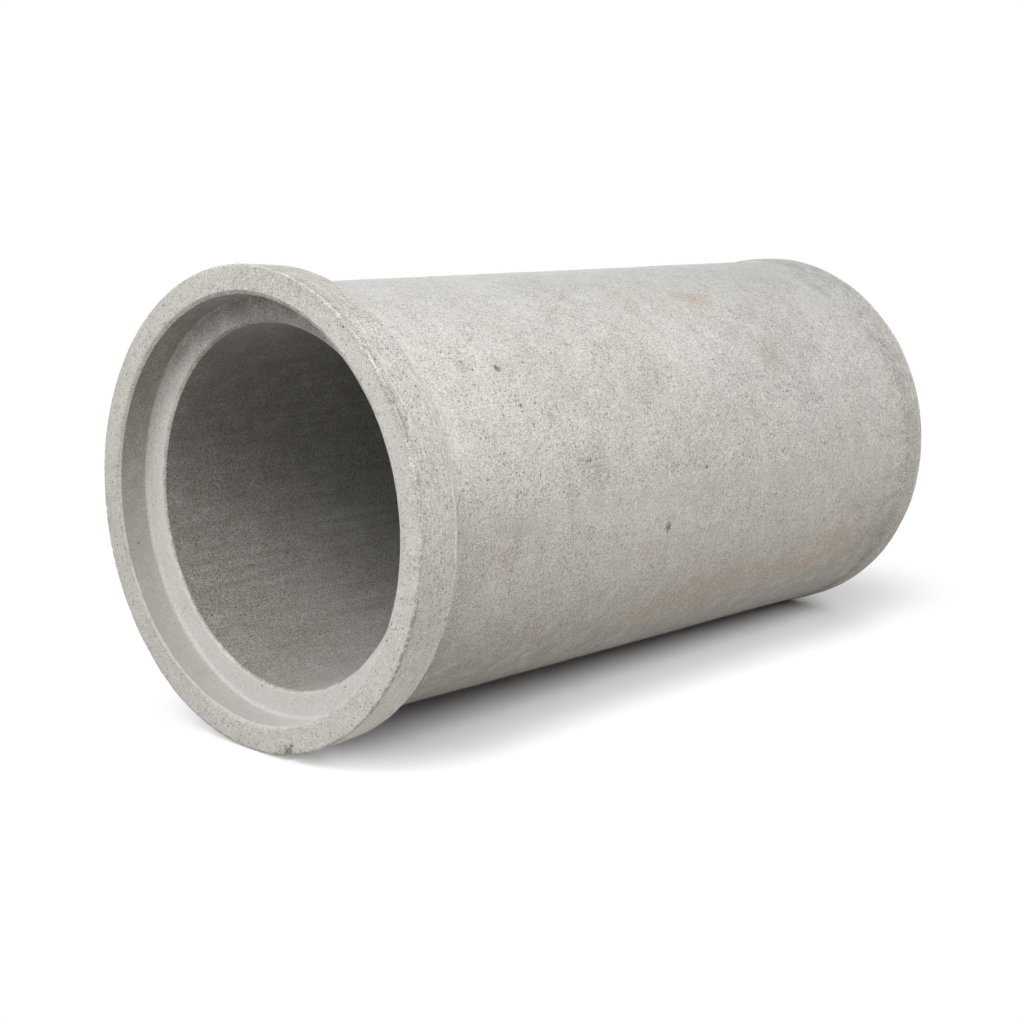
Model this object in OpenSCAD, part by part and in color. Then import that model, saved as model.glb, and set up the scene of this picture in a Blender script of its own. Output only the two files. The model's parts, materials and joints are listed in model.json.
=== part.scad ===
// Short-bell concrete sewer pipe, cast as one piece and lying on the ground.
//
// The pipe is one turned section. Its bell stands about 30 mm proud of the
// barrel, so the pipe lies on the rim of the bell and on the far end of the
// barrel, and its axis runs slightly downhill away from the bell.
//
// Frame: +Z up, ground at Z = 0, the bell faces -Y, and the origin is the
// middle of the footprint. Lengths along the pipe start at the bell's face.

/* [Pipe] */
// Diameter of the waterway
bore_d = 500; // [480:5:500]
// Outside diameter of the barrel
barrel_d = 600; // [590:1:606]
// Length from the bell's face to the far shoulder
pipe_l = 1206; // [600:1:2500]

/* [Bell] */
// Outside diameter of the bell at its rim
bell_d = 658; // [656:1:680]
// Outside diameter at the back edge of the bell
bell_back_d = 650; // [640:1:652]
// Distance of the back edge behind the bell's face
bell_back_y = 66; // [60:1:80]
// Distance behind the face at which the bell has run out into the barrel
bell_runout_y = 98; // [90:1:130]

/* [Socket] */
// Inside diameter of the flat face at the mouth
lip_d = 590; // [582:1:600]
// Diameter of the straight socket wall
socket_d = 578; // [572:0.5:580]
// Depth of the bevel at the mouth
mouth_bevel = 3; // [1:0.5:6]
// Depth of the socket's shoulder
shoulder_y = 49; // [49:1:56]
// Width of the bevel at the edge of the bore
bore_bevel = 4; // [2:0.5:8]

/* [Far end] */
// Extra radius of the shallow band around the far end
band_h = 3.5; // [1:0.5:6]
// Width of that band
band_w = 62; // [40:1:100]
// Outside diameter of the spigot
spigot_d = 546; // [536:1:552]
// Length of the spigot beyond the far shoulder
spigot_l = 40; // [30:1:42]

/* [Edges] */
// Radius of the bell rim's outer edge
rim_r = 4; // [2:0.5:8]
// Radius of the far shoulder's outer edge
far_r = 9; // [4:0.5:12]
// Radius of the fillet at the bottom of the socket
socket_fillet = 6; // [3:0.5:8]
// Radius of the spigot nose's outer edge
nose_r = 5; // [2:0.5:8]

/* [Hidden] */
$fn = 96;

arc_steps = 6;          // straight stretches in a drawn edge radius
band_slope = 16;        // length over which the band rises from the barrel
cove_bulge = 7;         // how far the bell's run-out curves in from a straight cone
nose_bevel = 3;         // bevel at the bore's edge on the spigot's nose

bore_r = bore_d / 2;
barrel_r = barrel_d / 2;
bell_r = bell_d / 2;
bell_back_r = bell_back_d / 2;
band_r = barrel_r + band_h;
overall_l = pipe_l + spigot_l;

// Centres of the two edge radii that touch the ground, as [along, out].
rim_centre = [rim_r, bell_r - rim_r];
far_centre = [pipe_l - far_r, band_r - far_r];

// Slope of the line that touches both edge radii from outside.
rest_span = norm(far_centre - rim_centre);
rest_tilt = atan2(rim_centre[1] - far_centre[1], far_centre[0] - rim_centre[0])
          + asin((rim_r - far_r) / rest_span);

// Height of the axis at the bell's face, and the footprint's two ends.
axis_z = rim_centre[0] * sin(rest_tilt) + rim_centre[1] * cos(rest_tilt) + rim_r;
front_y = rim_centre[0] * cos(rest_tilt) - rim_centre[1] * sin(rest_tilt) - rim_r;
nose_centre = [overall_l - nose_r, spigot_d / 2 - nose_r];
back_y = nose_centre[0] * cos(rest_tilt) + nose_centre[1] * sin(rest_tilt) + nose_r;

// Points of an arc about a centre [along, out], from one angle to another.
// Angle 0 points along the pipe and 90 points outwards.
function arc(centre, r, from, to, steps = arc_steps) =
    [for (i = [0:steps]) let (a = from + (to - from) * i / steps)
        centre + r * [cos(a), sin(a)]];

// The bell's run-out: a shallow cove from the back edge down to the barrel.
function cove(steps = 8) =
    [for (i = [1:steps]) let (t = i / steps)
        [bell_back_y + (bell_runout_y - bell_back_y) * t,
         bell_back_r + (barrel_r - bell_back_r) * t - cove_bulge * sin(180 * t) * (1 - t / 2)]];

// Half section of the wall, as [along, out]: around the outside from the
// bell's face to the spigot's nose, then back through the bore and socket.
function wall_section() = concat(
    [[0, lip_d / 2]],
    arc(rim_centre, rim_r, 180, 90),
    [[bell_back_y, bell_back_r]],
    cove(),
    [[pipe_l - band_w, barrel_r],
     [pipe_l - band_w + band_slope, band_r]],
    arc(far_centre, far_r, 90, 0),
    [[pipe_l, spigot_d / 2]],
    arc(nose_centre, nose_r, 90, 0),
    [[overall_l, bore_r + nose_bevel],
     [overall_l - nose_bevel, bore_r],
     [shoulder_y + bore_bevel, bore_r],
     [shoulder_y, bore_r + bore_bevel]],
    arc([shoulder_y - socket_fillet, socket_d / 2 - socket_fillet], socket_fillet, 0, 90),
    [[mouth_bevel, socket_d / 2]]);

// The pipe, with its axis along +Y and falling by rest_tilt towards +Y.
module pipe() {
    color([0.70, 0.68, 0.65])
        translate([0, -(front_y + back_y) / 2, axis_z])
            rotate([-90 - rest_tilt, 0, 0])
                rotate_extrude()
                    polygon([for (p = wall_section()) [p[1], p[0]]]);
}

pipe();
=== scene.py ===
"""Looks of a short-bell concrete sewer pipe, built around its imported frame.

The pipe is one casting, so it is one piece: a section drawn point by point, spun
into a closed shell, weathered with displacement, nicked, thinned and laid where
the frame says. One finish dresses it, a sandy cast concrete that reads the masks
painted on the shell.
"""
import json
import logging
import math
from dataclasses import dataclass, field
from enum import Enum
from functools import reduce

import bpy
import numpy as np
from mathutils import Euler, Matrix, Vector


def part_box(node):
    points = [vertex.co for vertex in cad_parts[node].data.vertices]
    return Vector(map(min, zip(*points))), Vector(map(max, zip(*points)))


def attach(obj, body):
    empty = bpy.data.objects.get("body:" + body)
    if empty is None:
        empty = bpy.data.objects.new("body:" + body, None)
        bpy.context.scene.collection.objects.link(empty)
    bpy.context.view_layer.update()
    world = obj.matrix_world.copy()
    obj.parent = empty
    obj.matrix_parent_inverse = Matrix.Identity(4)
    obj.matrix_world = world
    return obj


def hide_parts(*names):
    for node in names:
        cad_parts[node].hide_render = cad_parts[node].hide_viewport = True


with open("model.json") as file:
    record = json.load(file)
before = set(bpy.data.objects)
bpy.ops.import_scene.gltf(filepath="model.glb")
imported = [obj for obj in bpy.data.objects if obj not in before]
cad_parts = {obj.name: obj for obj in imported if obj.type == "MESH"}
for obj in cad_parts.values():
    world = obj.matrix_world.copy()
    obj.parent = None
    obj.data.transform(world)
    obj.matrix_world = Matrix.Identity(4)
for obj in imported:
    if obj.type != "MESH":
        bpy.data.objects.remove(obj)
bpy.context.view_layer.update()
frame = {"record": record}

HAIR = 0.001  # slack, in metres, when a place is compared with a size
SAME_PLACE = 1e-6  # two points nearer than this, in metres, are one
WEIGHT_LEVELS = 40  # steps in a vertex group's weights
MIX_COLOUR_INPUTS = (0, 6, 7)  # a Mix node's factor and two colours, by number
MIX_COLOUR_OUTPUT = 2  # and its mixed colour

log = logging.getLogger("sewer_pipe")

Colour = tuple[float, float, float]
Socket = bpy.types.NodeSocket
Value = Socket | float | Colour | Vector | Euler


class Reach(Enum):
    """Which part of the shell a layer of relief works on."""

    ALL_OVER = "all_over"
    ARRISES = "arrises"
    RIM = "rim"
    OUTSIDE = "outside"
    BLENDED = "blended"


class Mask(Enum):
    """The painted masks that the concrete reads, by attribute name."""

    # worn edges, with painted shade in their chips
    WEAR_AND_SHADE = "wear_and_shade"
    # grime, and painted shade under the barrel, behind the bell and on the roofs of socket and bore
    GRIME_AND_SHADE = "grime_and_shade"
    OCHRE = "ochre"
    # pale patches, and painted light and highlights on the bell, the barrel's side and the far end's edge
    LIME_AND_LIGHT = "lime_and_light"
    # smooth formed surfaces, painted lighter below and darker above in the socket
    FORMED_AND_LIGHT = "formed_and_light"
    BORE = "bore"
    FACE = "face"
    BELT = "belt"


# ---------------------------------------------------------------- sizes


@dataclass(frozen=True)
class PipeSizes:
    """Radii and distances behind the bell's face, in metres."""

    bell_r: float
    socket_r: float
    bore_r: float
    spigot_r: float
    lip_r: float = 0.295
    barrel_r: float = 0.300
    bell_back_r: float = 0.325
    band_r: float = 0.3035
    mouth_bevel: float = 0.003
    shoulder: float = 0.049
    bore_bevel: float = 0.004
    bell_back: float = 0.066
    cove_end: float = 0.102
    cove_power: float = 2.0
    cove_steps: int = 12
    band_start: float = 1.144
    band_full: float = 1.160
    far_shoulder: float = 1.206
    overall: float = 1.246
    rim_rounding: float = 0.0042
    back_rounding: float = 0.0025
    band_rounding: float = 0.05
    far_rounding: float = 0.009
    spigot_fillet: float = 0.004
    nose_rounding: float = 0.005
    nose_bevel: float = 0.003
    nose_edge: float = 0.001
    nose_inner_edge: float = 0.002
    socket_fillet: float = 0.006
    rim_inset: float = 0.001
    far_inset: float = 0.002

    @classmethod
    def from_record(cls, record: dict) -> "PipeSizes":
        """Takes the fitted radii from the record's mounts and the bell's from the box.

        Args:
            record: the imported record.

        Returns:
            The pipe's sizes.
        """
        fitted = [mount for mount in record["mounts"] if "r_mm" in mount["dims"]]
        radii = {mount["name"]: mount["dims"]["r_mm"] / 1000 for mount in fitted}
        low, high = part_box("pipe")
        return cls(
            bell_r=(high[0] - low[0]) / 2,
            socket_r=radii["socket"],
            bore_r=radii["bore"],
            spigot_r=radii["spigot"],
        )

    def arrises(self) -> tuple[Vector, ...]:
        """Lists the section's worn outside corners.

        Returns:
            The bell's rim, the far end's edge and the spigot's nose, as (along, out).
        """
        return (
            Vector((self.rim_inset, self.bell_r - self.rim_inset)),
            Vector((self.far_shoulder - self.far_inset, self.band_r - self.far_inset)),
            Vector((self.overall, self.spigot_r)),
        )


@dataclass(frozen=True)
class Corner:
    """One corner of the wall's section.

    Attributes:
        along: distance behind the bell's face.
        out: radius.
        rounding: radius of the corner's own rounding, 0 for a plain point.
    """

    along: float
    out: float
    rounding: float = 0.0

    @property
    def point(self) -> Vector:
        """The corner as a flat vector (along, out)."""
        return Vector((self.along, self.out))


@dataclass(frozen=True)
class Spot:
    """A place on the pipe's surface.

    Attributes:
        along: distance behind the bell's face, in metres.
        turn: degrees from the top, towards +X.
        out: radius, in metres.
    """

    along: float
    turn: float
    out: float

    def local(self) -> Vector:
        """The place in the upright pipe, whose axis is Z and whose top is -Y."""
        angle = math.radians(self.turn)
        return Vector((self.out * math.sin(angle), -self.out * math.cos(angle), self.along))


@dataclass(frozen=True)
class Relief:
    """One layer of procedural relief pressed into the shell.

    Attributes:
        name: the layer's name.
        reach: the vertices it works on.
        scale: size of the texture's features, in metres.
        height: rise from the texture's black to its white, in metres.
        kind: the texture type.
        middle: the texture value that stays where it is.
        octaves: how many a cloud texture has.
        window: the two values between which the texture rises from 0 to 1.
    """

    name: str
    reach: Reach
    scale: float
    height: float
    kind: str = "CLOUDS"
    middle: float = 0.5
    octaves: int = 2
    window: tuple[float, float] | None = None


@dataclass(frozen=True)
class Nick:
    """A dent or chip pressed into the surface.

    Attributes:
        spot: its middle.
        radius: how far it spreads, in metres.
        depth: how deep it is in the middle, in metres.
    """

    spot: Spot
    radius: float
    depth: float


@dataclass(frozen=True)
class Hole:
    """A small ragged hole that the concrete's finish sinks and darkens.

    Attributes:
        spot: its middle.
        radius: its size, in metres.
    """

    spot: Spot
    radius: float


@dataclass(frozen=True)
class Mark:
    """A soft patch painted into one of the masks.

    Attributes:
        mask: the mask it is painted into.
        along: its middle's distance behind the bell's face.
        turn: its middle, in degrees from the top towards +X.
        length: its reach along the pipe, in metres.
        width: its reach around the pipe, in degrees.
        amount: its strength in the middle.
        inside: whether it lies in the bore.
        beyond: the least radius that it touches.
    """

    mask: Mask
    along: float
    turn: float
    length: float
    width: float
    amount: float
    inside: bool = False
    beyond: float = 0.0


# ---------------------------------------------------------------- mesh tools


def deselect_all() -> None:
    """Leaves object mode with nothing selected."""
    if bpy.context.object and bpy.context.object.mode != "OBJECT":
        bpy.ops.object.mode_set(mode="OBJECT")
    bpy.ops.object.select_all(action="DESELECT")


def work_on(piece: bpy.types.Object, mode: str = "OBJECT") -> None:
    """Makes one piece the only selected and active one.

    Args:
        piece: the piece.
        mode: the mode to leave it in.
    """
    deselect_all()
    piece.select_set(True)
    bpy.context.view_layer.objects.active = piece
    bpy.ops.object.mode_set(mode=mode)


def open_mesh(piece: bpy.types.Object, kind: str, action: str = "SELECT") -> None:
    """Opens a piece in edit mode, with all or none of its mesh selected.

    Args:
        piece: the piece to open.
        kind: what is selected by, VERT or EDGE.
        action: SELECT or DESELECT.
    """
    work_on(piece, "EDIT")
    bpy.ops.mesh.select_mode(type=kind)
    bpy.ops.mesh.select_all(action=action)


def pick(piece: bpy.types.Object, kind: str, chosen: np.ndarray) -> None:
    """Selects vertices or edges by number, and leaves the piece in edit mode.

    Args:
        piece: the piece to select on.
        kind: what is selected, VERT or EDGE.
        chosen: a true or false for each vertex or edge.
    """
    open_mesh(piece, kind, "DESELECT")
    bpy.ops.object.mode_set(mode="OBJECT")
    elements = piece.data.vertices if kind == "VERT" else piece.data.edges
    elements.foreach_set("select", chosen)
    bpy.ops.object.mode_set(mode="EDIT")


def apply_modifier(piece: bpy.types.Object, kind: str, **settings: object) -> None:
    """Adds a modifier to a piece and applies it.

    Args:
        piece: the piece.
        kind: the modifier's type.
        settings: its properties by name.
    """
    work_on(piece)
    bpy.ops.object.modifier_add(type=kind)
    modifier = piece.modifiers[-1]
    for name, value in settings.items():
        setattr(modifier, name, value)
    bpy.ops.object.modifier_apply(modifier=modifier.name)


def places(piece: bpy.types.Object) -> np.ndarray:
    """Reads the coordinates of every vertex.

    Args:
        piece: the piece to read.

    Returns:
        One row for each vertex.
    """
    flat = np.empty(len(piece.data.vertices) * 3)
    piece.data.vertices.foreach_get("co", flat)
    return flat.reshape(-1, 3)


def rounded(corners: list[Corner], step: float) -> list[Vector]:
    """Rounds the corners of a closed outline.

    Args:
        corners: the outline's corners in order.
        step: longest stretch of a rounding's arc.

    Returns:
        The outline's points, as (along, out).
    """
    outline: list[Vector] = []
    for i, corner in enumerate(corners):
        here = corner.point
        if corner.rounding == 0:
            outline.append(here)
            continue
        back = (corners[i - 1].point - here).normalized()
        ahead = (corners[(i + 1) % len(corners)].point - here).normalized()
        half = back.angle(ahead) / 2
        reach = corner.rounding / math.tan(half)
        centre = here + (back + ahead).normalized() * (corner.rounding / math.sin(half))
        start = here + back * reach - centre
        end = here + ahead * reach - centre
        sweep = math.pi - 2 * half
        turn = math.copysign(sweep, start.x * end.y - start.y * end.x)
        steps = max(2, math.ceil(corner.rounding * sweep / step))
        for done in range(steps + 1):
            outline.append(centre + Matrix.Rotation(turn * done / steps, 2) @ start)
    return outline


def ramp(values: np.ndarray, low: float, high: float) -> np.ndarray:
    """Goes evenly from 0 to 1 as the values go from low to high, whichever is the larger."""
    return np.clip((values - low) / (high - low), 0, 1)


def hump(values: np.ndarray, middle: float, width: float) -> np.ndarray:
    """Is 1 where the values are at the middle, and fades away over the width."""
    return np.exp(-(((values - middle) / width) ** 2))


@dataclass
class Surface:
    """Where each vertex of the upright pipe lies.

    Attributes:
        along: distances behind the bell's face.
        out: radii.
        turn: degrees from the top towards +X, from 0 to 360.
    """

    along: np.ndarray
    out: np.ndarray
    turn: np.ndarray

    @classmethod
    def of(cls, piece: bpy.types.Object) -> "Surface":
        """Reads the surface of an upright piece."""
        x, y, z = places(piece).T
        return cls(z, np.hypot(x, y), np.degrees(np.arctan2(x, -y)) % 360)

    def swing(self, middle: float = 0.0) -> np.ndarray:
        """Degrees around the pipe from a given turn, between -180 and 180."""
        return (self.turn - middle + 180) % 360 - 180

    def lean(self, towards: float) -> np.ndarray:
        """How far the surface faces a turn: 1 straight at it, -1 straight away."""
        return np.cos(np.radians(self.turn - towards))

    def gap(self, *points: Vector) -> np.ndarray:
        """The distance from each vertex to the nearest of some (along, out) points."""
        return np.min([np.hypot(self.along - point.x, self.out - point.y) for point in points], axis=0)

    def between(self, first: float, last: float, low: float, high: float = math.inf) -> np.ndarray:
        """Tells which vertices lie between two distances along and two radii."""
        return (self.along > first) & (self.along < last) & (self.out > low) & (self.out < high)


# ---------------------------------------------------------------- the masks


@dataclass(frozen=True)
class Coats:
    """How strongly each part of the pipe is painted, where 1 is all that shows."""

    rim_wear: float = 0.6
    end_wear: float = 0.4
    rim_dirt: float = 1.25
    rim_rust: float = 0.20
    rim_spread: float = 1.4
    end_spread: float = 1.6
    band_strokes: float = 0.7
    band_dirt: float = 0.32
    # painted highlight along the far end's edge
    painted_end_highlight: float = 0.35
    # painted highlight along the bell's back edge, on its lower side and along its ridge
    painted_back_highlight: float = 0.4
    painted_ridge_highlight: float = 0.75
    # painted light on the bell's lower side
    painted_bell_light: float = 1.15
    # painted shade in the hollow behind the bell
    painted_cove_shade: float = 0.33
    # painted shade on the barrel's underside
    painted_under_shade: float = 0.90
    under_rust: float = 0.25
    # painted light along the barrel's lower side
    painted_side_light: float = 0.16
    bevel_lime: float = 0.60
    wall_rust: float = 0.45
    lip_rust: float = 0.35
    lip_wear: float = 0.75
    socket_smooth: float = 0.52
    # painted light and shade on the socket and its step, lighter at the bottom
    painted_socket_shading: float = 0.48
    painted_step_light: float = 0.26
    # painted shade on the roofs of the socket, the step and the bore
    painted_roof_shade: float = 1.3
    painted_bore_roof_shade: float = 0.95
    bore_rust: float = 0.10
    bore_floor_rust: float = 0.25
    bore_lime: float = 0.20


@dataclass(frozen=True)
class Bounds:
    """Where the coats lie on the pipe.

    Turns are in degrees from the top towards +X, and distances in metres. A pair goes
    from where a coat is absent to where it is full, or holds a middle and a width. A
    depth is how far a surface may be from its own radius and still take its coat.
    """

    rim_edge: tuple[float, float] = (0.011, 0.0)
    rim_line: tuple[float, float] = (0.00625, 0.00125)
    end_edge: tuple[float, float] = (0.012, 0.0)
    back_line: tuple[float, float] = (0.00308, 0.00088)
    lip_line: tuple[float, float] = (0.0048, 0.0008)
    far_side: float = 310
    far_side_fade: tuple[float, float] = (1.1, -0.9)
    dull_rim: tuple[float, float] = (44, 34)
    face_depth: float = 0.0025
    bell_front: float = 0.003
    upper_side: float = 25
    upper_side_fade: tuple[float, float] = (0.625, -0.625)
    ridge_start: tuple[float, float] = (62, 82)
    ridge_end: tuple[float, float] = (230, 190)
    cove_start: float = 0.004
    cove_overrun: float = 0.01
    band_rise: float = 0.01
    band_stop: tuple[float, float] = (-0.006, -0.016)
    # where the painted shade under the barrel starts and is full
    painted_under_shade: tuple[float, float] = (112, 136)
    under_rust: tuple[float, float] = (92, 128)
    # where the painted light along the barrel's side lies
    painted_side_light: tuple[float, float] = (104, 14)
    step_depth: float = 0.005
    left_side: float = 240
    roof: float = -20
    roof_corner: tuple[float, float] = (0, 36)
    floor: float = 195
    bore_lime: tuple[float, float] = (0.10, 0.30)
    end_depth: float = 0.006
    band_depth: float = 0.01
    barrel_depth: float = 0.004
    cove_depth: float = 0.003
    bevel_trim: float = 0.0006
    bevel_depth: float = 0.0005
    socket_depth: float = 0.002
    bore_depth: float = 0.003
    outer_mark_depth: float = 0.010
    inner_mark_depth: float = 0.006


@dataclass
class MaskPainter:
    """Paints the masks of the upright pipe by where each vertex lies.

    Attributes:
        sizes: the pipe's sizes.
        surface: where each vertex lies.
        coats: how strong each coat is.
        bounds: where each coat lies.
        masks: one number a vertex for each mask.
    """

    sizes: PipeSizes
    surface: Surface
    coats: Coats = Coats()
    bounds: Bounds = Bounds()
    masks: dict[Mask, np.ndarray] = field(init=False, repr=False)

    def __post_init__(self) -> None:
        """Starts every mask blank."""
        self.masks = {mask: np.zeros_like(self.surface.along) for mask in Mask}

    def add(self, mask: Mask, amount: float, *patterns: np.ndarray) -> None:
        """Adds an amount to a mask, faded by each of the patterns."""
        self.masks[mask] = self.masks[mask] + reduce(np.multiply, patterns, amount)

    def raise_to(self, mask: Mask, values: np.ndarray) -> None:
        """Raises a mask to some values wherever it is lower."""
        self.masks[mask] = np.maximum(self.masks[mask], values)

    def outside_corners(self) -> None:
        """Wears and dulls the bell's rim, with painted shade in its worn line, and wears the far end's
        edge and paints a highlight along it.
        """
        here, coats, bounds = self.surface, self.coats, self.bounds
        rim_corner, end_corner, _ = self.sizes.arrises()
        rim_gap = here.gap(rim_corner)
        rim = ramp(rim_gap, *bounds.rim_edge)
        end = ramp(here.gap(end_corner), *bounds.end_edge)
        far_side = ramp(here.lean(bounds.far_side), *bounds.far_side_fade)
        # the worn rim's line, strongest on the far side, stands for wear and for painted shade in its
        # chips
        worn = np.maximum(coats.rim_wear * rim, ramp(rim_gap, *bounds.rim_line))
        self.add(Mask.WEAR_AND_SHADE, 1.0, worn, far_side)
        self.add(Mask.WEAR_AND_SHADE, coats.end_wear, end)
        dulled = np.clip(coats.rim_spread * rim, 0, 1) * hump(here.turn, *bounds.dull_rim)
        self.add(Mask.GRIME_AND_SHADE, coats.rim_dirt, dulled)
        self.add(Mask.OCHRE, coats.rim_rust, dulled)
        outside = here.out > self.sizes.barrel_r - bounds.end_depth
        # painted highlight along the far end's edge
        self.add(Mask.LIME_AND_LIGHT, coats.painted_end_highlight, np.clip(coats.end_spread * end, 0, 1), outside)

    def bell(self) -> None:
        """Marks the bell's face, paints light on the bell's lower side and a highlight on its back edge,
        and paints shade into the hollow behind it.
        """
        sizes, here, coats, bounds = self.sizes, self.surface, self.coats, self.bounds
        self.add(Mask.FACE, 1.0, (here.along < bounds.face_depth) & (here.out > sizes.lip_r - HAIR))
        self.add(Mask.BELT, 1.0, here.between(bounds.bell_front, sizes.cove_end, sizes.barrel_r))
        lower = ramp(here.lean(bounds.upper_side), *bounds.upper_side_fade)
        ridge = ramp(here.turn, *bounds.ridge_start) * ramp(here.turn, *bounds.ridge_end)
        back_edge = ramp(here.gap(Vector((sizes.bell_back, sizes.bell_back_r))), *bounds.back_line)
        # painted highlight along the bell's back edge
        self.add(Mask.LIME_AND_LIGHT, 1.0, np.maximum(coats.painted_back_highlight * lower, coats.painted_ridge_highlight * ridge), back_edge)
        outside = here.between(bounds.bell_front, sizes.bell_back, sizes.barrel_r)
        # painted light on the bell's lower side
        self.add(Mask.LIME_AND_LIGHT, coats.painted_bell_light, lower, outside)
        # painted shade in the hollow behind the bell, on its lower side
        cove_from, cove_to = sizes.bell_back + bounds.cove_start, sizes.cove_end + bounds.cove_overrun
        cove = here.between(cove_from, cove_to, sizes.barrel_r - bounds.cove_depth)
        self.add(Mask.GRIME_AND_SHADE, coats.painted_cove_shade, lower, cove)

    def barrel(self) -> None:
        """Strokes and dirties the band, paints shade on the barrel's underside and light along its lower
        side, and stains the underside tan.
        """
        sizes, here, coats, bounds = self.sizes, self.surface, self.coats, self.bounds
        rise = ramp(here.along, sizes.band_start - bounds.band_rise, sizes.band_start + bounds.band_rise)
        band = rise * (here.out > sizes.barrel_r - bounds.band_depth)
        self.raise_to(Mask.BELT, coats.band_strokes * band)
        before_edge = ramp(here.along - sizes.far_shoulder, *bounds.band_stop)
        self.add(Mask.GRIME_AND_SHADE, coats.band_dirt, band, before_edge)
        from_top = np.abs(here.swing())
        barrel = (here.out > sizes.barrel_r - bounds.barrel_depth) & (here.along > sizes.bell_back)
        # painted shade on the barrel's underside
        self.add(Mask.GRIME_AND_SHADE, coats.painted_under_shade, barrel, ramp(from_top, *bounds.painted_under_shade))
        self.add(Mask.OCHRE, coats.under_rust, barrel, ramp(from_top, *bounds.under_rust))
        # painted light along the barrel's lower side
        self.add(Mask.LIME_AND_LIGHT, coats.painted_side_light, barrel, hump(from_top, *bounds.painted_side_light))

    def inside(self) -> None:
        """Smooths the socket and paints it lighter at the bottom and darker at the top, paints shade on
        the roof of socket and bore, and stains their floors.
        """
        sizes, here, coats, bounds = self.sizes, self.surface, self.coats, self.bounds
        bevel_end = sizes.shoulder + sizes.bore_bevel - bounds.bevel_trim
        socket = here.between(HAIR, bevel_end, sizes.bore_r - bounds.socket_depth, sizes.lip_r)
        step = socket & (here.along > sizes.shoulder - bounds.step_depth)
        wall = socket & ~step
        bevel = socket & (here.out < sizes.bore_r + sizes.bore_bevel + bounds.bevel_depth)
        bore = (here.along > bevel_end) & (here.out < sizes.bore_r + bounds.bore_depth)
        left, roof, floor = (
            ramp(here.lean(side), 0, 1) for side in (bounds.left_side, bounds.roof, bounds.floor)
        )
        # the socket's smooth formed face, with painted light towards the bottom and painted shade towards
        # the top
        self.add(Mask.FORMED_AND_LIGHT, 1.0, socket, coats.socket_smooth - coats.painted_socket_shading * here.lean(0))
        # painted light on the step, strongest at the bottom
        self.add(Mask.FORMED_AND_LIGHT, coats.painted_step_light, step, 1 - here.lean(0))
        self.add(Mask.LIME_AND_LIGHT, coats.bevel_lime, left, bevel)
        self.add(Mask.OCHRE, coats.wall_rust, left, wall)
        # painted shade on the roof of the socket wall and of the step
        self.add(Mask.GRIME_AND_SHADE, coats.painted_roof_shade, roof, wall)
        self.add(Mask.GRIME_AND_SHADE, coats.painted_roof_shade, step, hump(here.swing(), *bounds.roof_corner))
        lip = left * ramp(here.gap(Vector((HAIR, sizes.lip_r))), *bounds.lip_line)
        self.add(Mask.OCHRE, coats.lip_rust, lip)
        self.raise_to(Mask.WEAR_AND_SHADE, coats.lip_wear * lip)
        self.add(Mask.BORE, 1.0, bore)
        # painted shade on the roof of the bore
        self.add(Mask.GRIME_AND_SHADE, coats.painted_bore_roof_shade, roof, bore)
        self.add(Mask.OCHRE, 1.0, bore, coats.bore_rust + coats.bore_floor_rust * floor)
        self.add(Mask.LIME_AND_LIGHT, coats.bore_lime, bore, left, ramp(here.along, *bounds.bore_lime))

    def mark(self, mark: Mark) -> None:
        """Paints one soft patch.

        Args:
            mark: the patch's place, size and strength.
        """
        sizes, here, bounds = self.sizes, self.surface, self.bounds
        if mark.inside:
            side = here.out < sizes.bore_r + bounds.inner_mark_depth
        else:
            side = here.out > max(sizes.barrel_r - bounds.outer_mark_depth, mark.beyond)
        away = np.hypot((here.along - mark.along) / mark.length, here.swing(mark.turn) / mark.width)
        self.add(mark.mask, mark.amount, side, hump(away, 0, 1))

    def store(self, piece: bpy.types.Object) -> None:
        """Stores the masks as attributes of a piece, each kept between 0 and 1.

        Args:
            piece: the piece that the surface was read from.
        """
        for mask, values in self.masks.items():
            layer = piece.data.attributes.new(mask.value, "FLOAT", "POINT")
            layer.data.foreach_set("value", np.clip(values, 0, 1).astype(np.float32))


# ---------------------------------------------------------------- the casting


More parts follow.
